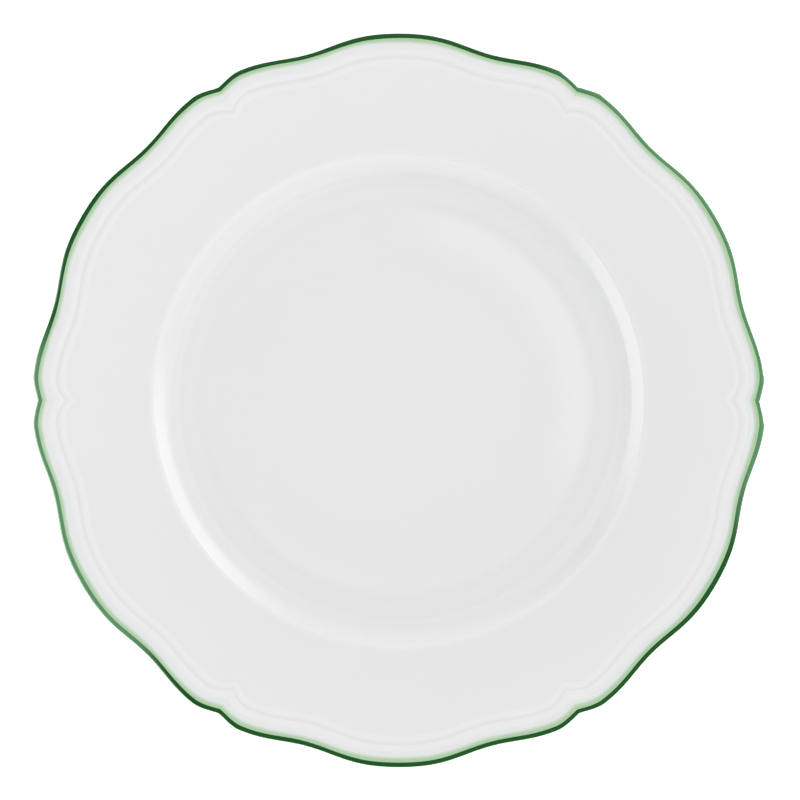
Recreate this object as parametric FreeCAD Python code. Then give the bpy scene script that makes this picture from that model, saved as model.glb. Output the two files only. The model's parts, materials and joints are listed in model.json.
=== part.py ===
import FreeCAD, Part
import math
import os

# A china dinner plate: a round well on a foot ring, and a wide sloping rim that ends in a lobed,
# notched lip. Millimetres, +Z up. The origin is the centre of the foot ring, on the table.
#
# The fired layers are the pieces: the porcelain body, the glaze on the face and the back, the glaze
# inside the foot ring, the dark green enamel line round the lip and the pale green band inside it.
# One section of the porcelain body drives everything. The other layers lie parallel to it.

# ---- Outline, seen from above ----
plate_diameter = 270.0      # across two opposite crests
repeats = 6                 # the outline repeats six times round the plate
lobe_height = 1.66          # half the height of the waves, two to a repeat
crest_flattening = 0.32     # makes the crests broad and the hollows rounder
notch_half_angle = 4.3      # degrees to each side of a notch
lip_notch_depth = 2.1
ridge_notch_depth = 4.1     # the embossed lines point inwards more sharply than the lip
notch_deepening = 10.2      # distance in from the lip over which the notch deepens

# ---- Section of the porcelain body ----
floor_height = 6.7
dish_corner_radius = 58.0   # where the flat centre and the gentle outer rise would meet
dish_slope = 5.0            # degrees
dish_bend = 218.0
heel_radius = 74.0          # where the rise would turn steeper, towards the wall of the well
heel_slope = 14.0           # degrees
heel_bend = 80.0
cove_corner_radius = 84.7   # where the steeper rise and the wall would meet
cove_bend = 16.0
wall_slope = 40.0           # degrees
shoulder_radius = 91.0      # where the wall and the rim would meet
shoulder_bend = 3.2
rim_slope = 9.5             # degrees
lip_thickness = 2.4
lip_bend = 1.0
back_slope = 11.3           # degrees, on the underside of the rim
wall_thickness = 3.7
back_bend = 9.0
foot_outer_radius = 83.6
foot_inner_radius = 80.4
foot_bend = 1.0
foot_root_radius = 84.3
foot_root_bend = 2.5
recess_radius = 79.8
recess_height = 2.9
recess_bend = 1.5
bare_height = 1.3           # the foot ring is free of glaze up to here

# ---- Fired layers ----
glaze = 0.3
enamel = 0.12
dark_line_width = 1.8       # seen from above, from the lip inwards
dark_line_turn_under = 0.7  # how far the line runs on past the rounded lip, along the underside
pale_band_width = 2.4       # with the stretch where the wash fades out

# ---- Embossed lines: distance in from the lip, height above the rim, rounding ----
relief = [
    (11.7, 0.0, 4.0),
    (10.15, 0.22, 2.6),     # thin inner ridge
    (8.5, -0.04, 3.0),      # groove
    (6.45, 0.28, 4.5),      # broad outer ridge
    (4.7, 0.0, 5.0),
]

# ---- Where the round middle ends and the lobed outer rim starts ----
join_radius = 105.0
lobes_start = 106.0
lobes_full = 121.0

# ---- Fineness of the lobed surfaces ----
notch_steps = 8             # from a notch to the end of its curve
wave_steps = 36             # from one notch's curve to the next notch's curve
section_step = {"rim": 0.45, "pale": 0.7, "lip": 0.25, "under": 2.0}    # along each lobed span

mean_radius = plate_diameter / 2 - lobe_height + crest_flattening
body_lip_radius = mean_radius - glaze - enamel
heel_height = floor_height + (heel_radius - dish_corner_radius) * math.tan(math.radians(dish_slope))
cove_height = heel_height + (cove_corner_radius - heel_radius) * math.tan(math.radians(heel_slope))
wall_rise = math.tan(math.radians(wall_slope))
shoulder_height = cove_height + (shoulder_radius - cove_corner_radius) * wall_rise
rim_rise = math.tan(math.radians(rim_slope))
back_rise = math.tan(math.radians(back_slope))
lip_height = shoulder_height + (body_lip_radius - shoulder_radius) * rim_rise
sector = 360.0 / repeats
centre = FreeCAD.Vector(0, 0, 0)
up = FreeCAD.Vector(0, 0, 1)


def rim_top(radius):
    return shoulder_height + (radius - shoulder_radius) * rim_rise


def rim_back(radius):
    return lip_height - lip_thickness - (body_lip_radius - radius) * back_rise


def wall_back(radius):
    """Height of the back of the well's wall, parallel to its face."""
    drop = wall_thickness / math.cos(math.radians(wall_slope))
    return cove_height + (radius - cove_corner_radius) * wall_rise - drop


def back_corner_radius():
    """Where the back of the wall meets the back of the rim."""
    at_lip = rim_back(body_lip_radius) - wall_back(body_lip_radius)
    return body_lip_radius + at_lip / (wall_rise - back_rise)


def on_line(start, end, height):
    """The point at a height on the line between two points."""
    share = (height - start[1]) / (end[1] - start[1])
    return start[0] + share * (end[0] - start[0])


def section_spans():
    """The body's section in spans, from the centre of the face, round the lip, to the centre of the recess.

    A corner is (radius, height, rounding). A span starts and ends partway along a straight stretch.
    """
    pale_edge = body_lip_radius + glaze + enamel - dark_line_width - pale_band_width
    dark_edge = body_lip_radius + glaze + enamel - dark_line_width
    under_edge = body_lip_radius - lip_bend - dark_line_turn_under
    back_corner = back_corner_radius()
    root = (foot_root_radius, wall_back(foot_root_radius), foot_root_bend)
    foot_outer = (foot_outer_radius, 0.0, foot_bend)
    foot_inner = (foot_inner_radius, 0.0, foot_bend)
    recess = (recess_radius, recess_height, recess_bend)
    ridges = [
        (mean_radius - inset, rim_top(mean_radius - inset) + height, bend) for inset, height, bend in relief
    ]
    face_join = (join_radius, rim_top(join_radius), 0.0)
    pale_start = (pale_edge, rim_top(pale_edge), 0.0)
    dark_start = (dark_edge, rim_top(dark_edge), 0.0)
    dark_end = (under_edge, rim_back(under_edge), 0.0)
    back_join = (join_radius, rim_back(join_radius), 0.0)
    bare_start = (on_line(root, foot_outer, bare_height), bare_height, 0.0)
    bare_end = (on_line(foot_inner, recess, bare_height), bare_height, 0.0)
    return {
        "face": [
            (0.0, floor_height, 0.0),
            (dish_corner_radius, floor_height, dish_bend),
            (heel_radius, heel_height, heel_bend),
            (cove_corner_radius, cove_height, cove_bend),
            (shoulder_radius, shoulder_height, shoulder_bend),
            face_join,
        ],
        "rim": [face_join] + ridges + [pale_start],
        "pale": [pale_start, dark_start],
        "lip": [
            dark_start,
            (body_lip_radius, lip_height, lip_bend),
            (body_lip_radius, lip_height - lip_thickness, lip_bend),
            dark_end,
        ],
        "under": [dark_end, back_join],
        "back": [back_join, (back_corner, rim_back(back_corner), back_bend), root, bare_start],
        "foot": [bare_start, foot_outer, foot_inner, bare_end],
        "recess": [bare_end, recess, (0.0, recess_height, 0.0)],
    }


# ---- Section drawing ----
def point(radius, height):
    return FreeCAD.Vector(radius, 0, height)


def outward(start, end):
    """The unit normal on the outer side of a stretch of the section."""
    run = end - start
    return FreeCAD.Vector(-run.z, 0, run.x).normalize()


def parallel_corners(corners, distance):
    """The corners moved outwards, so that every stretch lies parallel to where it was."""
    spots = [point(radius, height) for radius, height, bend in corners]
    normals = [outward(a, b) for a, b in zip(spots, spots[1:])]
    moved = [(spots[0] + normals[0] * distance, 0.0)]
    for number in range(1, len(corners) - 1):
        before = normals[number - 1]
        after = normals[number]
        shift = (before + after) * (distance / (1 + before.dot(after)))
        turns_left = (before.x * after.z - before.z * after.x) > 0
        bend = corners[number][2] + (-distance if turns_left else distance)
        moved.append((spots[number] + shift, bend))
    moved.append((spots[-1] + normals[-1] * distance, 0.0))
    return moved


def span_edges(corners, distance):
    """One span as lines and arcs tangent to them, at a distance outside the body."""
    moved = parallel_corners(corners, distance)
    edges = []
    reached = moved[0][0]
    for (before, _), (corner, bend), (after, _) in zip(moved, moved[1:], moved[2:]):
        way_in = (corner - before).normalize()
        way_out = (after - corner).normalize()
        turn = way_in.getAngle(way_out)
        reach = bend * math.tan(turn / 2)
        arc_start = corner - way_in * reach
        arc_end = corner + way_out * reach
        middle = corner + (way_out - way_in).normalize() * (bend / math.cos(turn / 2) - bend)
        edges.append(Part.makeLine(reached, arc_start))
        edges.append(Part.Arc(arc_start, middle, arc_end).toShape())
        reached = arc_end
    edges.append(Part.makeLine(reached, moved[-1][0]))
    return edges


def cap_edge(corners, end, distance_in, distance_out):
    """The short edge across a layer at one end of a span."""
    inner = parallel_corners(corners, distance_in)[end][0]
    outer = parallel_corners(corners, distance_out)[end][0]
    return Part.makeLine(inner, outer)


# ---- From the section to the lobed plate ----
def ease(value, start, end):
    """Rises smoothly from 0 at start to 1 at end."""
    share = min(1.0, max(0.0, (value - start) / (end - start)))
    return share * share * (3 - 2 * share)


def outline_shift(radius, angle):
    """How far the outline moves a point of the section outwards, at an angle from a notch in degrees."""
    inset = mean_radius - radius
    twelfth = math.radians(angle * 2 * repeats)
    waves = lobe_height * math.cos(twelfth) - crest_flattening * math.cos(2 * twelfth)
    deepening = ease(inset, 0.0, notch_deepening)
    depth = lip_notch_depth + (ridge_notch_depth - lip_notch_depth) * deepening
    nearness = max(0.0, 1 - min(angle, sector - angle) / notch_half_angle)
    notch = nearness * nearness * (1 + (1 - nearness) * (1 - deepening))
    return ease(radius, lobes_start, lobes_full) * (waves - depth * notch)


def plate_point(spot, angle):
    """A point of the section carried to an angle, moved along the slope of the rim with the outline."""
    shift = outline_shift(spot.x, angle)
    radius = spot.x + shift
    turn = math.radians(angle)
    return FreeCAD.Vector(radius * math.cos(turn), radius * math.sin(turn), spot.z + shift * rim_rise)


def sector_angles():
    """Angles from one notch to the next, closer together in the notches."""
    near = [notch_half_angle * step / notch_steps for step in range(notch_steps)]
    far = [sector - angle for angle in reversed(near)]
    open_angle = sector - 2 * notch_half_angle
    middle = [notch_half_angle + open_angle * step / wave_steps for step in range(wave_steps + 1)]
    return near + middle + far


def curve_through(spots, places):
    """A smooth curve that passes each spot at its own parameter."""
    curve = Part.BSplineCurve()
    curve.interpolate(Points=list(spots), Parameters=places)
    return curve


def lobed_face(edges, step):
    """One sixth of the surface that a line across the rim sweeps, from notch to notch.

    Curves along the rim come first. Curves across the rim then join their control points, so two
    faces that share an edge share the same curve there.
    """
    wire = Part.Wire(edges)
    count = max(2, round(wire.Length / step) + 1)
    spots = wire.discretize(Number=count)
    places = [wire.Length * number / (count - 1) for number in range(count)]
    angles = sector_angles()
    along = [curve_through([plate_point(spot, angle) for angle in angles], angles) for spot in spots]
    across = [curve_through(poles, places) for poles in zip(*[curve.getPoles() for curve in along])]
    surface = Part.BSplineSurface()
    surface.buildFromPolesMultsKnots(
        [curve.getPoles() for curve in across],
        along[0].getMultiplicities(), across[0].getMultiplicities(),
        along[0].getKnots(), across[0].getKnots(),
        False, False, along[0].Degree, across[0].Degree,
    )
    return surface.toShape()


def round_faces(edges):
    """One sixth of the surface of revolution of each edge."""
    return [edge.revolve(centre, up, sector) for edge in edges]


def closed_solid(sector_faces):
    """The solid enclosed by one sector's faces and their turned copies."""
    faces = []
    for number in range(repeats):
        for face in sector_faces:
            turned = face.copy()
            turned.rotate(centre, up, number * sector)
            faces.append(turned)
    sewn = Part.Compound(faces)
    sewn.sewShape()
    solid = Part.Solid(sewn.Shells[0])
    if solid.Volume < 0:
        solid.reverse()
    return solid


def layer_faces(spans, names, distance):
    """One sixth of the surface that lies a distance outside the body along the named spans."""
    faces = []
    for name in names:
        edges = span_edges(spans[name], distance)
        if name in section_step:
            faces.append(lobed_face(edges, section_step[name]))
        else:
            faces += round_faces(edges)
    return faces


# ---- The pieces ----
def porcelain_body(spans):
    return closed_solid(layer_faces(spans, list(spans), 0.0))


def glaze_coat(spans):
    """The glaze over the face, round the lip and down the back to the foot ring."""
    names = ["face", "rim", "pale", "lip", "under", "back"]
    faces = layer_faces(spans, names, 0.0) + layer_faces(spans, names, glaze)
    faces += round_faces([cap_edge(spans["back"], -1, 0.0, glaze)])
    return closed_solid(faces)


def foot_recess_glaze(spans):
    faces = layer_faces(spans, ["recess"], 0.0) + layer_faces(spans, ["recess"], glaze)
    faces += round_faces([cap_edge(spans["recess"], 0, 0.0, glaze)])
    return closed_solid(faces)


def enamel_ring(spans, name):
    """A thin ring that lies on the glaze along one span."""
    faces = layer_faces(spans, [name], glaze) + layer_faces(spans, [name], glaze + enamel)
    for end in (0, -1):
        faces.append(lobed_face([cap_edge(spans[name], end, glaze, glaze + enamel)], enamel))
    return closed_solid(faces)


def dark_green_line(spans):
    """The painted line over the rounded lip, from the face to just under the rim."""
    return enamel_ring(spans, "lip")


def pale_green_band(spans):
    """The paler wash on the face, inside the line."""
    return enamel_ring(spans, "pale")


def build():
    spans = section_spans()
    return {
        "porcelain_body": porcelain_body(spans),
        "glaze_coat": glaze_coat(spans),
        "foot_recess_glaze": foot_recess_glaze(spans),
        "dark_green_line": dark_green_line(spans),
        "pale_green_band": pale_green_band(spans),
    }


os.makedirs("parts", exist_ok=True)
for name, solid in build().items():
    solid.exportStep("parts/" + name + ".step")
    box = solid.BoundBox
    print(name, solid.ShapeType, "valid", solid.isValid(), "volume", round(solid.Volume, 1),
          "faces", len(solid.Faces), "height", round(box.ZMin, 3), round(box.ZMax, 3),
          "width", round(box.XLength, 3), round(box.YLength, 3))
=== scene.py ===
import bisect
import json
import math

import bpy
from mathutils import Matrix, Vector, noise


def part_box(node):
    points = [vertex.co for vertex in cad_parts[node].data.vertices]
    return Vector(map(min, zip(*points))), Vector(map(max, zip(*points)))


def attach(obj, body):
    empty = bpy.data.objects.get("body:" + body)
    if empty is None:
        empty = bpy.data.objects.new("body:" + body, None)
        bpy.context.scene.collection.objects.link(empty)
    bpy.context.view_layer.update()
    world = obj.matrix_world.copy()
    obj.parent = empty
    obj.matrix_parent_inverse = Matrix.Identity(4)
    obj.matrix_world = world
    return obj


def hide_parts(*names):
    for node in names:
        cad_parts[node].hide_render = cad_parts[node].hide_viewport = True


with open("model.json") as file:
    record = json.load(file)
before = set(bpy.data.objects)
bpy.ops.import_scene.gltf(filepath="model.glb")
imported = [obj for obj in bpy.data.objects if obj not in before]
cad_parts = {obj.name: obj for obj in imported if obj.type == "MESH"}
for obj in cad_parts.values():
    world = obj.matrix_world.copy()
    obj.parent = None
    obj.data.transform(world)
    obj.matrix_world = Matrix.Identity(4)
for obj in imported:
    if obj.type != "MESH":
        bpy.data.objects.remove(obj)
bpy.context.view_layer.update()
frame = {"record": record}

# A china dinner plate: porcelain, glaze and a hand-painted green lip. Every layer is swept from one
# section of the porcelain, with its main sizes from the CAD nodes. Lengths are metres.

# ---- Sizes that the CAD nodes give ----
line_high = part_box("dark_green_line")[1]
glaze_low, glaze_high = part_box("glaze_coat")
body_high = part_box("porcelain_body")[1]
recess_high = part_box("foot_recess_glaze")[1]
mounts = {mount["name"]: mount["pos_m"] for mount in frame["record"]["mounts"]}
plate_radius = line_high.y              # to a crest
foot_radius = mounts["foot_rest"][0]    # to the middle of the foot ring
glazed_floor = mounts["well_floor"][2]
glaze = glaze_high.y - body_high.y
enamel = line_high.y - glaze_high.y
bare_height = glaze_low.z               # the foot ring is bare up to here
recess_height = recess_high.z
mm = plate_radius / 135.0               # a millimetre of a plate 270 mm across

# ---- Outline, seen from above ----
repeats = 6
sector = 360.0 / repeats
lobe_height = 1.66 * mm
crest_flattening = 0.32 * mm
notch_half_angle = 4.3
lip_notch_depth = 2.1 * mm
ridge_notch_depth = 4.1 * mm
notch_deepening = 10.2 * mm
mean_radius = plate_radius - lobe_height + crest_flattening
lobes_start = 106.0 * mm
lobes_full = 121.0 * mm

# ---- Section of the porcelain body ----
floor_height = glazed_floor - glaze
dish_corner = 58.0 * mm
dish_slope = math.tan(math.radians(5.0))
dish_bend = 218.0 * mm
heel_corner = 74.0 * mm
heel_slope = math.tan(math.radians(14.0))
heel_bend = 80.0 * mm
cove_corner = 84.7 * mm
cove_bend = 16.0 * mm
wall_slope = math.tan(math.radians(40.0))
shoulder_corner = 91.0 * mm
shoulder_bend = 3.2 * mm
rim_slope = math.tan(math.radians(9.5))
lip_thickness = 2.4 * mm
lip_bend = 1.0 * mm
back_slope = math.tan(math.radians(11.3))
wall_thickness = 3.7 * mm
back_bend = 9.0 * mm
foot_half_width = 1.6 * mm
foot_bend = 1.0 * mm
foot_root = foot_radius + 2.3 * mm
foot_root_bend = 2.5 * mm
recess_corner = foot_radius - 2.2 * mm
recess_bend = 1.5 * mm

# ---- Embossed lines: distance in from the lip, height above the rim, rounding ----
relief = [
    (11.7 * mm, 0.0, 4.0 * mm),
    (10.15 * mm, 0.22 * mm, 2.6 * mm),    # thin inner ridge
    (8.5 * mm, -0.04 * mm, 3.0 * mm),     # groove
    (6.45 * mm, 0.28 * mm, 4.5 * mm),     # broad outer ridge
    (4.7 * mm, 0.0, 5.0 * mm),
]

body_lip = mean_radius - glaze - enamel
heel_height = floor_height + (heel_corner - dish_corner) * dish_slope
cove_height = heel_height + (cove_corner - heel_corner) * heel_slope
shoulder_height = cove_height + (shoulder_corner - cove_corner) * wall_slope
lip_height = shoulder_height + (body_lip - shoulder_corner) * rim_slope

# ---- Painting, with widths as seen from above ----
line_width = 1.8 * mm
line_turn_under = 0.7 * mm      # how far the line runs on past the rounded lip, along the underside
wash_width = 3.2 * mm           # from the lip to where the wash has half faded
wash_fade = 2.6 * mm            # and on to where it has gone
pressure_side = 315.0           # the brush pressed harder on this side of the plate
pressure_gain = 0.05 * mm       # by how much that widens the line
wash_pressure = 0.2 * mm
crest_gain = 0.06 * mm          # the line comes out wider on the crests than in the hollows
wash_crest = 0.2 * mm
brush_wander = 0.12 * mm
line_skip = 0.2 * mm            # the brush skips across the notches, which narrows the line
wash_skip = 0.5 * mm            # and the wash
sheen_widening = 0.1 * mm            # the line reaches a little further in where its sheen is painted
# Where a reflection of the side lights is painted on the line as lighter green: middle, half width and
# softness, in degrees.
sheen_stretches = [(22.0, 30.0, 25.0), (198.0, 22.0, 14.0)]
# The brush wanders by noise read round a circle, slowly and quickly: the circle's radius, its share of
# the wander, and its height in the noise.
wander_parts = [(4, 1.4, 0.0), (15, 0.6, 5.0)]
wander_apart = 10.0             # between the circles of different painted edges
wash_under_line = 0.3 * mm      # the line covers the edge of the wash
paint_edge = 0.6 * mm           # the line thins out over this width
paint_sunk = 0.006 * mm         # firing sinks the enamel into the glaze
wash_rise = 0.02 * mm
bead_width = 0.5 * mm           # the rounded edge of the glaze at the foot ring
pool_reach = 0.9 * mm           # the bend of the section is measured over about this size, for glaze pooling in hollows and for the painted shade and highlight of grooves and ridges

# ---- Looks: linear colours of the layers ----
glaze_white = (0.80, 0.80, 0.80, 1)
glaze_cloud = (0.795, 0.7965, 0.796, 1)
glaze_pooled = (0.791, 0.799, 0.7955, 1)
# The next two are a painted shade for grooves and a painted highlight for ridges of the relief.
glaze_groove_shade = (0.756, 0.762, 0.759, 1)
glaze_ridge_highlight = (0.808, 0.808, 0.806, 1)
pooling = (0.03, 0.16)              # the glaze turns from white to pooled between these turns, in radians
groove_shading = (0.08, 0.28)            # and on to a greyer painted shade in a groove
ridge_highlighting = (-0.08, -0.28)            # and to a lighter painted highlight over a ridge
glaze_roughness = (0.05, 0.09)
glaze_wave_depth = 0.025 * mm
glaze_ior = 1.5
# A lighter green, the painted reflection of the side lights, then the line's own deep green.
enamel_painted_sheen = (0.11, 0.285, 0.13, 1)
enamel_deep = (0.001, 0.078, 0.005, 1)
enamel_roughness = (0.06, 0.14)
enamel_ior = 1.3
streak_depth = 0.012 * mm
streak_paint = 0.5                  # what a streak adds to the share of deep green, which is 1 clear of the painted reflection
sheen_free_from = 1.1                  # the green is at its deepest, with none of the painted reflection, from here
wash_deep = (0.395, 0.58, 0.355, 1)
wash_light = (0.49, 0.645, 0.455, 1)
wash_trace = (0.755, 0.778, 0.778, 1)   # the last of it, fading on to where it has gone
wash_fading = (-0.6, 0.65)          # in millimetres from where the wash has half faded
wash_unevenness = 0.8               # how far patches and streaks move that, in millimetres
wash_lightening = (-1.2, -0.2)      # where it turns from deep to light, measured as wash_fading is
uneven_streaks = 0.5                # the shares of streaks and patches in that unevenness
uneven_patches = 0.9
streak_lightening = 0.25            # how far a streak lightens the wash
streak_waves = 130.0                # along the brush stroke, to a metre
streak_lines = 4.0                  # across it, to a millimetre
clay_dark = (0.70, 0.665, 0.60, 1)
clay_light = (0.76, 0.735, 0.685, 1)
clay_rubbed = (0.40, 0.385, 0.36, 1)
rubbed_heights = (0.2 * mm, 0.55 * mm)      # most up to the first, not at all above the second
rub_patchiness = 0.5 * mm           # how far patches move those heights
most_rubbed = 0.45
bare_roughness = (0.75, 0.55)       # untouched, and where it is rubbed most
grit_depth = 0.03 * mm
paper_dark = (0.9, 0.9, 0.9, 1)
paper_light = (0.92, 0.92, 0.92, 1)
paper_roughness = 0.9
# Noise, in waves to a metre, and the ranges of its values that are stretched to the full range.
cloud_waves = 14.0
smear_waves = 45.0
glaze_waves = 70.0
patch_waves = 90.0
rub_waves = 120.0
fleck_waves = 1800.0
grit_waves = 2600.0
paper_waves = 4.0
noise_range = (0.3, 0.7)
fleck_range = (0.35, 0.65)

# ---- Studio. Azimuths and elevations in degrees, azimuth 0 towards +X and 90 towards +Y. ----
world_strength = 0.871
world_skyline = 2.4                 # how much brighter the studio's walls are than its ceiling
world_slant = 0.12                  # and how much brighter its brighter side is
bright_side = 315.0
skyline_sharpness = 4.0             # how steeply the walls' brightness falls off from the skyline
floor_half = 3.0
floor_glow = 0.3
dome_radius = 8.0
dome_rows = 90
dome_columns = 120
softboxes = [
    # Middle, half width and softness in azimuth, then lowest, highest and softness in elevation,
    # and brightness.
    (0.0, 180.0, 1.0, 57.0, 90.0, 8.0, 0.5),        # over the plate
    (0.0, 180.0, 1.0, 80.0, 90.0, 8.0, 0.72),       # and straight above it
    (0.0, 180.0, 1.0, 67.0, 71.5, 2.0, 0.55),       # a ring lamp
    (315.0, 40.0, 50.0, 60.0, 77.0, 5.0, 0.15),     # two faint glows on opposite sides
    (120.0, 60.0, 40.0, 77.0, 82.0, 3.0, 0.3),
    (210.0, 40.0, 20.0, 81.0, 83.5, 5.0, 0.9),      # a small lamp overhead
    (190.0, 12.0, 34.0, 0.0, 23.0, 3.0, 2.4),       # two low soft boxes on opposite sides
    (24.0, 12.0, 30.0, 0.0, 15.0, 18.0, 3.0),
    (30.0, 24.0, 8.0, -70.0, 0.0, 3.0, 14.0),       # and one under each, lower than the plate
    (195.0, 24.0, 10.0, -50.0, -2.0, 3.0, 8.0),
    (300.0, 48.0, 30.0, 0.0, 25.0, 20.0, 0.8),      # two dim windows
    (85.0, 20.0, 40.0, 0.0, 20.0, 15.0, 1.1),
    (45.0, 100.0, 50.0, 32.0, 58.0, 9.0, 0.9),      # the far wall
    (0.0, 180.0, 1.0, 5.0, 57.0, 8.0, 0.15),        # the room
]
camera_height = 18 * plate_radius
frame_width = 294.3 * mm            # what the camera covers at the height of the lip
camera_offset = Vector((0.43, 0.14)) * mm
sensor_width = 36.0                 # in the camera's own millimetres

# ---- Fineness ----
fine = 0.0025 * mm          # how far a facet may lie from a curve that shows
coarse = 0.03 * mm          # and from one that is covered
longest_row = 5.0 * mm
edge_row = 0.5 * mm         # a narrow row beside each bend keeps the shading of flat stretches flat
notch_columns = 11
wave_columns = 44
bead_rows = 6
line_rows = 44
wash_rows = 16
straight_out = 0.9999       # a normal that leans this far outwards faces straight out of the lip


def rim_top(radius):
    return shoulder_height + (radius - shoulder_corner) * rim_slope


def rim_back(radius):
    return lip_height - lip_thickness - (body_lip - radius) * back_slope


def wall_back(radius):
    drop = wall_thickness * math.hypot(1, wall_slope)
    return cove_height + (radius - cove_corner) * wall_slope - drop


def section():
    """The porcelain's section, from the centre of the face, round the lip, to the centre of the recess.

    A corner is (radius, height, rounding).
    """
    gap_at_lip = rim_back(body_lip) - wall_back(body_lip)
    back_corner = body_lip + gap_at_lip / (wall_slope - back_slope)
    face = [
        (0.0, floor_height, 0.0),
        (dish_corner, floor_height, dish_bend),
        (heel_corner, heel_height, heel_bend),
        (cove_corner, cove_height, cove_bend),
        (shoulder_corner, shoulder_height, shoulder_bend),
    ]
    ridges = []
    for inset, rise, bend in relief:
        radius = mean_radius - inset
        ridges.append((radius, rim_top(radius) + rise, bend))
    lip = [(body_lip, lip_height, lip_bend), (body_lip, lip_height - lip_thickness, lip_bend)]
    back = [
        (back_corner, rim_back(back_corner), back_bend),
        (foot_root, wall_back(foot_root), foot_root_bend),
    ]
    foot = [
        (foot_radius + foot_half_width, 0.0, foot_bend),
        (foot_radius - foot_half_width, 0.0, foot_bend),
    ]
    recess = [(recess_corner, recess_height, recess_bend), (0.0, recess_height, 0.0)]
    return face + ridges + lip + back + foot + recess


class Path:
    """The section as points, with the outward normal at each and the true length up to it.

    arcs holds, for the stretch up to each point, the middle and radius of its arc, or None on a straight
    run. The radius is below 0 on a ridge.
    """

    def __init__(self, flatness):
        self.flatness = flatness
        corners = section()
        spots = [Vector((radius, height)) for radius, height, bend in corners]
        sides = []
        for start, end in zip(spots, spots[1:]):
            run = (end - start).normalized()
            sides.append(Vector((-run.y, run.x)))
        self.points = [spots[0]]
        self.normals = [sides[0]]
        self.lengths = [0.0]
        self.arcs = [None]
        for number in range(1, len(spots) - 1):
            self.add_arc(spots[number], sides[number - 1], sides[number], corners[number][2])
        self.add_line(spots[-1])
        edge = [length for length, normal in zip(self.lengths, self.normals) if normal.x > straight_out]
        self.lip = (edge[0] + edge[-1]) / 2

    def add_point(self, spot, normal, run, arc):
        self.points.append(spot)
        self.normals.append(normal)
        self.lengths.append(self.lengths[-1] + run)
        self.arcs.append(arc)

    def add_line(self, end):
        """A straight run, with a narrow row at each end of a long one."""
        start = self.points[-1]
        normal = self.normals[-1]
        length = (end - start).length
        stops = [0.0, length]
        if length > 4 * edge_row:
            stops = [0.0, edge_row, length - edge_row, length]
        for low, high in zip(stops, stops[1:]):
            pieces = max(1, math.ceil((high - low) / longest_row))
            for number in range(1, pieces + 1):
                along = low + (high - low) * number / pieces
                self.add_point(start.lerp(end, along / length), normal, (high - low) / pieces, None)

    def add_arc(self, corner, before, after, bend):
        """A straight run up to a corner's arc, then the arc, tangent to the runs on both sides."""
        turn = math.atan2(before.x * after.y - before.y * after.x, before.dot(after))
        way_in = Vector((before.y, -before.x))
        arc_start = corner - way_in * (bend * math.tan(abs(turn) / 2))
        self.add_line(arc_start)
        reach = bend if turn > 0 else -bend
        middle = arc_start + before * reach
        step = 2 * math.acos(1 - self.flatness / bend)
        pieces = max(2, math.ceil(abs(turn) / step))
        for number in range(1, pieces + 1):
            angle = turn * number / pieces
            normal = Vector((
                before.x * math.cos(angle) - before.y * math.sin(angle),
                before.x * math.sin(angle) + before.y * math.cos(angle),
            ))
            self.add_point(middle - normal * reach, normal, bend * abs(turn) / pieces, (middle, reach))

    def at(self, length, distance=0.0):
        """The point at a length along the section and a distance outside it."""
        number = min(max(1, bisect.bisect_left(self.lengths, length)), len(self.lengths) - 1)
        start = self.lengths[number - 1]
        share = (length - start) / (self.lengths[number] - start)
        normal = self.normals[number - 1].lerp(self.normals[number], share).normalized()
        if self.arcs[number]:
            middle, reach = self.arcs[number]
            return middle + normal * (distance - reach)
        return self.points[number - 1].lerp(self.points[number], share) + normal * distance

    def stations(self, low, high):
        """The lengths of the path's own points between two lengths, and the two lengths."""
        return [low] + [length for length in self.lengths if low < length < high] + [high]

    def at_height(self, height):
        """The lengths along the path where the section passes a height."""
        found = []
        for number in range(1, len(self.points)):
            below = self.points[number - 1].y - height
            above = self.points[number].y - height
            if below * above < 0:
                run = self.lengths[number] - self.lengths[number - 1]
                found.append(self.lengths[number - 1] + run * below / (below - above))
        return found

    def at_inset(self, inset, distance):
        """The length on the face where the surface is that far in from the lip, seen from above."""
        low = 0.0
        high = self.lip
        while high - low > fine / 10:
            middle = (low + high) / 2
            if self.at(middle, distance).x < mean_radius - inset:
                low = middle
            else:
                high = middle
        return low

    def outward(self, length):
        """The normal at a length, or at the end of the path if the length is past it."""
        length = min(self.lengths[-1], max(0.0, length))
        return self.at(length, 1.0) - self.at(length)

    def hollowness(self, length):
        """How far the section bends outwards near a length, in radians: below 0 on a ridge."""
        ahead = self.outward(length + pool_reach)
        behind = self.outward(length - pool_reach)
        return math.atan2(behind.x * ahead.y - behind.y * ahead.x, behind.dot(ahead))


# ---- From the section to the lobed plate ----
def ease(value, start, end):
    """Rises smoothly from 0 at start to 1 at end."""
    share = min(1.0, max(0.0, (value - start) / (end - start)))
    return share * share * (3 - 2 * share)


def around(angle, middle, half, soft):
    """1 within half of a direction, easing to 0 within soft more. All in degrees."""
    off = abs((angle - middle + 180) % 360 - 180)
    return 1 - ease(off, half, half + soft)


def load(angle):
    """1 clear of the stretches where a reflection is painted on the line, less within them."""
    return 1 - sum(around(angle, middle, half, soft) for middle, half, soft in sheen_stretches)


def outline_shift(radius, angle):
    """How far the outline moves a point of the section outwards, at an angle in degrees."""
    if radius <= lobes_start:
        return 0.0
    angle = angle % sector
    twelfth = math.radians(angle * 2 * repeats)
    waves = lobe_height * math.cos(twelfth) - crest_flattening * math.cos(2 * twelfth)
    deepening = ease(mean_radius - radius, 0.0, notch_deepening)
    depth = lip_notch_depth + (ridge_notch_depth - lip_notch_depth) * deepening
    nearness = max(0.0, 1 - min(angle, sector - angle) / notch_half_angle)
    notch = nearness * nearness * (1 + (1 - nearness) * (1 - deepening))
    return ease(radius, lobes_start, lobes_full) * (waves - depth * notch)


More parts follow.
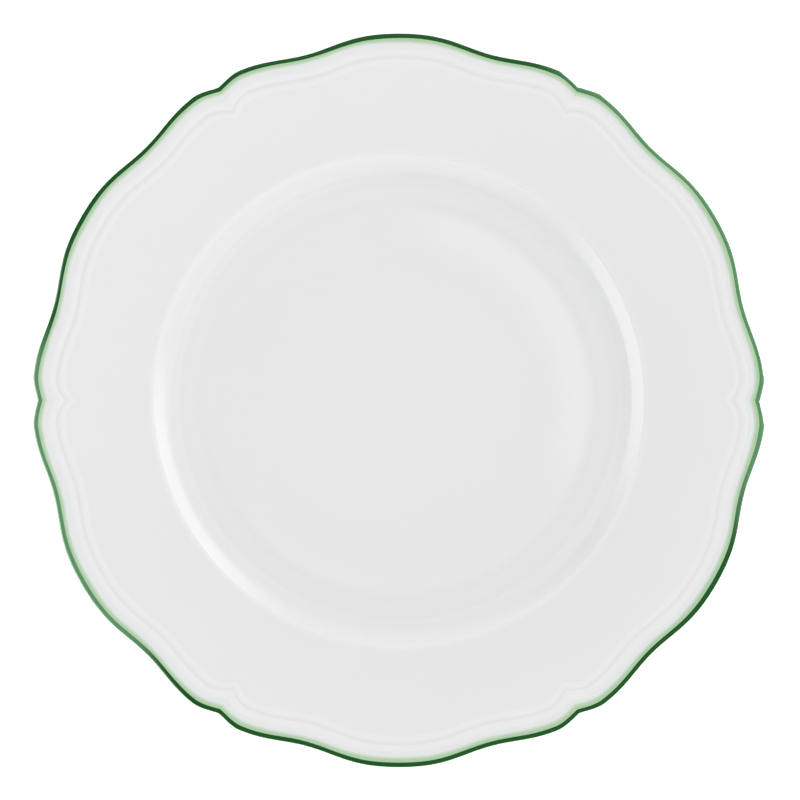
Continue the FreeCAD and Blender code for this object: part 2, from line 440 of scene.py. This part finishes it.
def plate_point(spot, angle):
    """A point of the section carried to an angle, moved along the slope of the rim with the outline."""
    shift = outline_shift(spot.x, angle)
    turn = math.radians(angle)
    radius = spot.x + shift
    return (radius * math.cos(turn), radius * math.sin(turn), spot.y + shift * rim_slope)


def column_angles():
    """Angles all round the plate, closer together in the notches."""
    near = [notch_half_angle * number / notch_columns for number in range(notch_columns)]
    open_angle = sector - 2 * notch_half_angle
    middle = [notch_half_angle + open_angle * number / wave_columns for number in range(wave_columns + 1)]
    far = [sector - angle for angle in reversed(near[1:])]
    return [turn * sector + angle for turn in range(repeats) for angle in near + middle + far]


def swept(name, profile):
    """A smooth closed mesh round the plate.

    profile(angle) lists (point of the section, mark) there, always as many. A profile that starts and
    ends on the axis is closed by its poles, any other end to start. The attribute "mark" holds each
    point's mark, how clear its angle is of the reflection painted on the line, and 0.
    """
    angles = column_angles()
    first = profile(angles[0])
    poles = first[0][0].x < coarse and first[-1][0].x < coarse
    rows = len(first) - 2 if poles else len(first)
    vertices = []
    marks = []
    for angle in angles:
        column = profile(angle)
        if poles:
            column = column[1:-1]
        for spot, mark in column:
            vertices.append(plate_point(spot, angle))
            marks += [mark, load(angle), 0.0]
    faces = []
    for number in range(len(angles)):
        here = number * rows
        there = (number + 1) % len(angles) * rows
        for row in range(rows - 1):
            faces.append((here + row, here + row + 1, there + row + 1, there + row))
        if poles:
            top = len(angles) * rows
            faces.append((top, here, there))
            faces.append((here + rows - 1, top + 1, there + rows - 1))
        else:
            faces.append((here + rows - 1, here, there, there + rows - 1))
    if poles:
        for spot, mark in (first[0], first[-1]):
            vertices.append((0.0, 0.0, spot.y))
            marks += [mark, 0.0, 0.0]
    mesh = bpy.data.meshes.new(name)
    mesh.from_pydata(vertices, [], faces)
    mesh.shade_smooth()
    mesh.attributes.new("mark", "FLOAT_VECTOR", "POINT").data.foreach_set("vector", marks)
    piece = bpy.data.objects.new(name, mesh)
    bpy.context.scene.collection.objects.link(piece)
    return piece


# ---- The pieces ----
shown = Path(fine)
covered = Path(coarse)
bare_crossings = shown.at_height(bare_height)
bare_start = bare_crossings[0]
bare_end = bare_crossings[-1]
line_end = shown.lip + math.pi / 2 * lip_bend + line_turn_under


def marked(lengths, distance=0.0):
    """The same points at every angle, marked with how hollow the surface is there."""
    return [(shown.at(length, distance), shown.hollowness(length)) for length in lengths]


def china_body():
    """The whole porcelain body. Only the foot ring shows."""
    lengths = covered.stations(0.0, bare_start)
    lengths += shown.stations(bare_start, bare_end)
    lengths += covered.stations(bare_end, covered.lengths[-1])
    column = marked(lengths)
    return swept("china_body", lambda angle: column)


def thinning(gap, width):
    """The share of a layer's thickness at a gap from its edge, which is rounded over a width."""
    share = min(1.0, max(0.0, gap / width))
    return math.sqrt(share * (2 - share))


def bead_stations(edge, side):
    """Lengths that draw closer together up to the rounded edge of the glaze, which is left out."""
    steps = [math.sin(math.pi / 2 * number / bead_rows) for number in range(bead_rows)]
    return [edge + side * bead_width * (1 - step) for step in steps]


def glaze_surface():
    """The glaze over the face, round the lip and down the back, up to its bead at the foot ring."""
    lengths = shown.stations(0.0, bare_start - bead_width)[:-1] + bead_stations(bare_start, -1)
    column = [
        (shown.at(length, glaze * thinning(bare_start - length, bead_width)), shown.hollowness(length))
        for length in lengths
    ]
    column += marked(reversed(covered.stations(0.0, bare_start)))
    return swept("glaze_surface", lambda angle: column)


def recess_glaze():
    """The glaze inside the foot ring."""
    column = marked(reversed(covered.stations(bare_end, covered.lengths[-1])))
    lengths = bead_stations(bare_end, 1)[::-1]
    lengths += shown.stations(bare_end + bead_width, shown.lengths[-1])[1:]
    column += [
        (shown.at(length, glaze * thinning(length - bare_end, bead_width)), shown.hollowness(length))
        for length in lengths
    ]
    return swept("recess_glaze", lambda angle: column)


def wander(angle, number):
    """The unsteadiness of the brush, between about -1 and 1, different for each painted edge."""
    turn = math.radians(angle)
    total = 0.0
    for radius, share, height in wander_parts:
        spot = (radius * math.cos(turn), radius * math.sin(turn), wander_apart * number + height)
        total += share * noise.noise(spot)
    return total


def pressure(angle):
    """1 where the brush pressed hardest, -1 on the opposite side."""
    return math.cos(math.radians(angle - pressure_side))


def crest(angle):
    """1 on a crest of the outline and in the middle of a notch, -1 in a hollow."""
    return math.cos(math.radians(angle * 2 * repeats))


def in_notch(angle):
    """1 in the middle of a notch, easing to 0 at its ends."""
    return around(angle * repeats, 0.0, 0.0, notch_half_angle * repeats)


def line_inset(angle):
    """How far in from the lip the dark line reaches."""
    inset = line_width + pressure_gain * pressure(angle) + crest_gain * crest(angle)
    inset += sheen_widening * (1 - load(angle)) - line_skip * in_notch(angle)
    return inset + brush_wander * wander(angle, 1)


def film(start, end, rows, top, mark):
    """A film sunk a little into the glaze, from one length to another. top and mark take a length."""
    lengths = [start + (end - start) * number / rows for number in range(rows + 1)]
    over = [(shown.at(length, glaze + top(length)), mark(length)) for length in lengths]
    under = [(shown.at(length, glaze - 2 * paint_sunk), mark(length)) for length in lengths[-2:0:-2]]
    return over + under


def lip_line():
    """The dark line over the rounded lip. Its inner edge wanders as a brush does."""
    def profile(angle):
        start = shown.at_inset(line_inset(angle), glaze)
        end = line_end + 2 * brush_wander * wander(angle, 2)

        def top(length):
            edge = min(length - start, end - length)
            return (enamel + paint_sunk) * ease(edge, 0.0, paint_edge) - paint_sunk

        return film(start, end, line_rows, top, lambda length: (length - shown.lip) / mm)
    return swept("lip_line", profile)


def lip_wash():
    """The pale wash inside the line, thinning towards the face. The mark is 0 where it has half faded."""
    def profile(angle):
        fade = wash_width + wash_pressure * pressure(angle) + wash_crest * crest(angle)
        fade += brush_wander * wander(angle, 3) - wash_skip * in_notch(angle)
        start = shown.at_inset(fade + wash_fade, glaze)
        covered_from = shown.at_inset(line_inset(angle), glaze)
        end = covered_from + wash_under_line

        def top(length):
            body = ease(length, start, start + wash_fade) * (1 - ease(length, covered_from, end))
            return (wash_rise + paint_sunk) * body - paint_sunk

        def mark(length):
            return (mean_radius - shown.at(length, glaze).x - fade) / mm

        return film(start, end, wash_rows, top, mark)
    return swept("lip_wash", profile)


# ---- Materials ----
def add(tree, kind, inputs=None, **settings):
    """A shader node with its settings. An input is a value, or the output socket that feeds it."""
    made = tree.nodes.new(kind)
    for key, value in settings.items():
        setattr(made, key, value)
    for key, value in (inputs or {}).items():
        if isinstance(value, bpy.types.NodeSocket):
            tree.links.new(value, made.inputs[key])
        else:
            made.inputs[key].default_value = value
    return made


def grain(tree, vector, scale, detail=2.0):
    """Noise between about 0.25 and 0.75, scale in waves to a metre."""
    inputs = {"Vector": vector, "Scale": scale, "Detail": detail}
    return add(tree, "ShaderNodeTexNoise", inputs).outputs["Fac"]


def spread(tree, value, low, high, to_low=0.0, to_high=1.0):
    """The value's range from low to high stretched to a new range, eased at both ends."""
    inputs = {"Value": value, "From Min": low, "From Max": high, "To Min": to_low, "To Max": to_high}
    return add(tree, "ShaderNodeMapRange", inputs, interpolation_type="SMOOTHSTEP").outputs["Result"]


def mixed(tree, share, start, end):
    """A colour between two, by share."""
    made = add(tree, "ShaderNodeMix", data_type="RGBA")
    for number, value in ((0, share), (6, start), (7, end)):
        if isinstance(value, bpy.types.NodeSocket):
            tree.links.new(value, made.inputs[number])
        else:
            made.inputs[number].default_value = value
    return made.outputs[2]


def worked(tree, operation, *values):
    """The result of a Math node."""
    return add(tree, "ShaderNodeMath", dict(enumerate(values)), operation=operation).outputs[0]


def summed(tree, first, factor, second):
    """first * factor + second"""
    return worked(tree, "MULTIPLY_ADD", first, factor, second)


def start_material(name):
    """A material with its node tree, its shader and the place on the plate."""
    material = bpy.data.materials.new(name)
    material.use_nodes = True
    tree = material.node_tree
    place = add(tree, "ShaderNodeTexCoord").outputs["Object"]
    return material, tree, tree.nodes["Principled BSDF"], place


def piece_marks(tree):
    """X is the piece's own mark, Y how clear the place is of the reflection painted on the line."""
    marks = add(tree, "ShaderNodeAttribute", attribute_name="mark").outputs["Vector"]
    return add(tree, "ShaderNodeSeparateXYZ", {0: marks}).outputs


def set_bump(tree, shader, height, depth):
    """Relief finer than the mesh, depth in metres from the lowest to the highest value."""
    bump = add(tree, "ShaderNodeBump", {"Height": height, "Distance": depth, "Strength": 1.0})
    tree.links.new(bump.outputs["Normal"], shader.inputs["Normal"])


def glaze_colour(tree, place, mark):
    """White under a clear glaze, faintly green where it pools in hollows, with a greyer painted shade in
    grooves and a lighter painted highlight over ridges.
    """
    pooled = spread(tree, mark, *pooling)
    cloudy = spread(tree, grain(tree, place, cloud_waves), *noise_range)
    white = mixed(tree, cloudy, glaze_white, glaze_cloud)
    # Lighter over ridges as a painted highlight, and greyer in grooves as a painted shade.
    ridge_highlit = mixed(tree, spread(tree, mark, *ridge_highlighting), white, glaze_ridge_highlight)
    pooled_and_groove_shade = mixed(tree, spread(tree, mark, *groove_shading), glaze_pooled, glaze_groove_shade)
    return mixed(tree, pooled, ridge_highlit, pooled_and_groove_shade)


def glaze_finish(tree, shader, place):
    """A gloss that is a little uneven, over the long shallow waves of a fired glaze."""
    smear = grain(tree, place, smear_waves, 3.0)
    tree.links.new(spread(tree, smear, *noise_range, *glaze_roughness), shader.inputs["Roughness"])
    set_bump(tree, shader, grain(tree, place, glaze_waves, 1.0), glaze_wave_depth)
    shader.inputs["IOR"].default_value = glaze_ior


def clear_glaze():
    material, tree, shader, place = start_material("clear_glaze")
    tree.links.new(glaze_colour(tree, place, piece_marks(tree)["X"]), shader.inputs["Base Color"])
    glaze_finish(tree, shader, place)
    return material


def bare_porcelain():
    """Unglazed china, fine-grained and matt, greyed where the foot ring rubs on tables."""
    material, tree, shader, place = start_material("bare_porcelain")
    fleck = spread(tree, grain(tree, place, fleck_waves, 4.0), *fleck_range)
    clay = mixed(tree, fleck, clay_dark, clay_light)
    height = add(tree, "ShaderNodeSeparateXYZ", {0: place}).outputs["Z"]
    patchy = summed(tree, grain(tree, place, rub_waves, 3.0), rub_patchiness, height)
    rubbed = spread(tree, patchy, *rubbed_heights, most_rubbed, 0.0)
    tree.links.new(mixed(tree, rubbed, clay, clay_rubbed), shader.inputs["Base Color"])
    roughness = spread(tree, rubbed, 0.0, most_rubbed, *bare_roughness)
    tree.links.new(roughness, shader.inputs["Roughness"])
    set_bump(tree, shader, grain(tree, place, grit_waves, 3.0), grit_depth)
    return material


def brushed(tree, place, mark):
    """Streaks that run along the lip with the brush. The mark counts millimetres across them."""
    parts = add(tree, "ShaderNodeSeparateXYZ", {0: place})
    along = [worked(tree, "MULTIPLY", parts.outputs[axis], streak_waves) for axis in ("X", "Y")]
    across = worked(tree, "MULTIPLY", mark, streak_lines)
    vector = add(tree, "ShaderNodeCombineXYZ", {"X": along[0], "Y": along[1], "Z": across}).outputs[0]
    return grain(tree, vector, 1.0, 3.0)


def dark_enamel():
    """Opaque green, lighter where a reflection of the side lights is painted on it, streaked there by the
    brush.
    """
    material, tree, shader, place = start_material("dark_enamel")
    marks = piece_marks(tree)
    streaks = brushed(tree, place, marks["X"])
    # depth is the share of deep green, below 1 only where the reflection of the side lights is painted.
    depth = spread(tree, summed(tree, streaks, streak_paint, marks["Y"]), 0.0, sheen_free_from)
    tree.links.new(mixed(tree, depth, enamel_painted_sheen, enamel_deep), shader.inputs["Base Color"])
    tree.links.new(spread(tree, streaks, *noise_range, *enamel_roughness), shader.inputs["Roughness"])
    set_bump(tree, shader, streaks, streak_depth)
    shader.inputs["IOR"].default_value = enamel_ior
    return material


def pale_wash():
    """A thin green wash that fades into the white of the glaze."""
    material, tree, shader, place = start_material("pale_wash")
    mark = piece_marks(tree)["X"]
    streaks = brushed(tree, place, mark)
    patches = grain(tree, place, patch_waves, 2.0)
    middle = (uneven_streaks + uneven_patches) / 2
    uneven = summed(tree, streaks, uneven_streaks, summed(tree, patches, uneven_patches, -middle))
    faded = spread(tree, summed(tree, uneven, wash_unevenness, mark), *wash_fading)
    gone = spread(tree, mark, 0.0, wash_fade / mm)
    tint = mixed(tree, spread(tree, mark, *wash_lightening), wash_deep, wash_light)
    lighter = spread(tree, streaks, *noise_range, 0.0, streak_lightening)
    tint = mixed(tree, lighter, tint, wash_light)
    white = mixed(tree, gone, wash_trace, glaze_white)
    tree.links.new(mixed(tree, faded, tint, white), shader.inputs["Base Color"])
    glaze_finish(tree, shader, place)
    return material


def finished(piece, material, node):
    """A piece with its material, riding on the plate in place of a CAD node."""
    piece.data.materials.append(material)
    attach(piece, "root")
    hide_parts(node)


glaze_look = clear_glaze()
finished(china_body(), bare_porcelain(), "porcelain_body")
finished(glaze_surface(), glaze_look, "glaze_coat")
finished(recess_glaze(), glaze_look, "foot_recess_glaze")
finished(lip_line(), dark_enamel(), "dark_green_line")
finished(lip_wash(), pale_wash(), "pale_green_band")


# ---- Studio ----
def studio_mesh(name, vertices, faces, material):
    mesh = bpy.data.meshes.new(name)
    mesh.from_pydata(vertices, [], faces)
    mesh.materials.append(material)
    made = bpy.data.objects.new(name, mesh)
    bpy.context.scene.collection.objects.link(made)
    return made


def floor_look():
    """White paper, lit from below as well, so that hardly a shadow is left on it."""
    material, tree, shader, place = start_material("white_floor")
    fibres = grain(tree, place, paper_waves, 3.0)
    tree.links.new(mixed(tree, fibres, paper_dark, paper_light), shader.inputs["Base Color"])
    shader.inputs["Roughness"].default_value = paper_roughness
    shader.inputs["Emission Color"].default_value = (1, 1, 1, 1)
    shader.inputs["Emission Strength"].default_value = floor_glow
    return material


def white_floor():
    half = floor_half
    corners = [(-half, -half, 0), (half, -half, 0), (half, half, 0), (-half, half, 0)]
    floor = studio_mesh("white_floor", corners, [(0, 1, 2, 3)], floor_look())
    floor.visible_glossy = False


def window(value, low, high, soft):
    """1 between low and high, easing to 0 within soft outside them."""
    return ease(value, low - soft, low) * (1 - ease(value, high, high + soft))


def studio_glow(azimuth, elevation):
    """What the gloss of the plate reflects: how bright the studio is in a direction, in degrees."""
    total = 0.0
    for middle, half, side_soft, low, high, soft, bright in softboxes:
        total += bright * around(azimuth, middle, half, side_soft) * window(elevation, low, high, soft)
    return total


def reflected_studio():
    """A dome of soft boxes that only reflections see. The light itself comes from the world."""
    vertices = []
    glow = []
    for row in range(dome_rows + 1):
        elevation = 180.0 * row / dome_rows - 90
        height = dome_radius * math.sin(math.radians(elevation))
        reach = dome_radius * math.cos(math.radians(elevation))
        for column in range(dome_columns):
            azimuth = 360.0 * column / dome_columns
            turn = math.radians(azimuth)
            vertices.append((reach * math.cos(turn), reach * math.sin(turn), height))
            glow.append(studio_glow(azimuth, elevation))
    faces = []
    for row in range(dome_rows):
        for column in range(dome_columns):
            here = row * dome_columns + column
            there = row * dome_columns + (column + 1) % dome_columns
            faces.append((here, here + dome_columns, there + dome_columns, there))
    material = bpy.data.materials.new("studio_glow")
    material.use_nodes = True
    tree = material.node_tree
    tree.nodes.remove(tree.nodes["Principled BSDF"])
    strength = add(tree, "ShaderNodeAttribute", attribute_name="glow").outputs["Fac"]
    emission = add(tree, "ShaderNodeEmission", {"Strength": strength})
    tree.links.new(emission.outputs[0], tree.nodes["Material Output"].inputs["Surface"])
    material.cycles.emission_sampling = "NONE"
    dome = studio_mesh("reflected_studio", vertices, faces, material)
    dome.data.attributes.new("glow", "FLOAT", "POINT").data.foreach_set("value", glow)
    dome.visible_camera = False
    dome.visible_diffuse = False
    dome.visible_transmission = False
    dome.visible_shadow = False


def world_light():
    """Soft light from everywhere, brighter along the skyline and towards one side."""
    world = bpy.data.worlds.new("studio")
    world.use_nodes = True
    tree = world.node_tree
    towards = add(tree, "ShaderNodeTexCoord").outputs["Generated"]
    height = add(tree, "ShaderNodeSeparateXYZ", {0: towards}).outputs["Z"]
    lowness = worked(tree, "SUBTRACT", 1.0, worked(tree, "ABSOLUTE", height))
    skyline = worked(tree, "POWER", lowness, skyline_sharpness)
    turn = math.radians(bright_side)
    side = (world_slant * math.cos(turn), world_slant * math.sin(turn), 0.0)
    slant = add(tree, "ShaderNodeVectorMath", {0: towards, 1: side}, operation="DOT_PRODUCT")
    level = summed(tree, skyline, world_skyline, summed(tree, slant.outputs["Value"], 1.0, 1.0))
    strength = worked(tree, "MULTIPLY", level, world_strength)
    background = tree.nodes["Background"]
    background.inputs["Color"].default_value = (1, 1, 1, 1)
    tree.links.new(strength, background.inputs["Strength"])
    bpy.context.scene.world = world


def camera():
    """Straight above the plate."""
    data = bpy.data.cameras.new("camera")
    data.sensor_width = sensor_width
    data.lens = data.sensor_width * (camera_height - lip_height) / frame_width
    made = bpy.data.objects.new("camera", data)
    made.location = (camera_offset.x, camera_offset.y, camera_height)
    bpy.context.scene.collection.objects.link(made)
    bpy.context.scene.camera = made


white_floor()
reflected_studio()
world_light()
camera()
bpy.context.scene.view_settings.view_transform = "Standard"
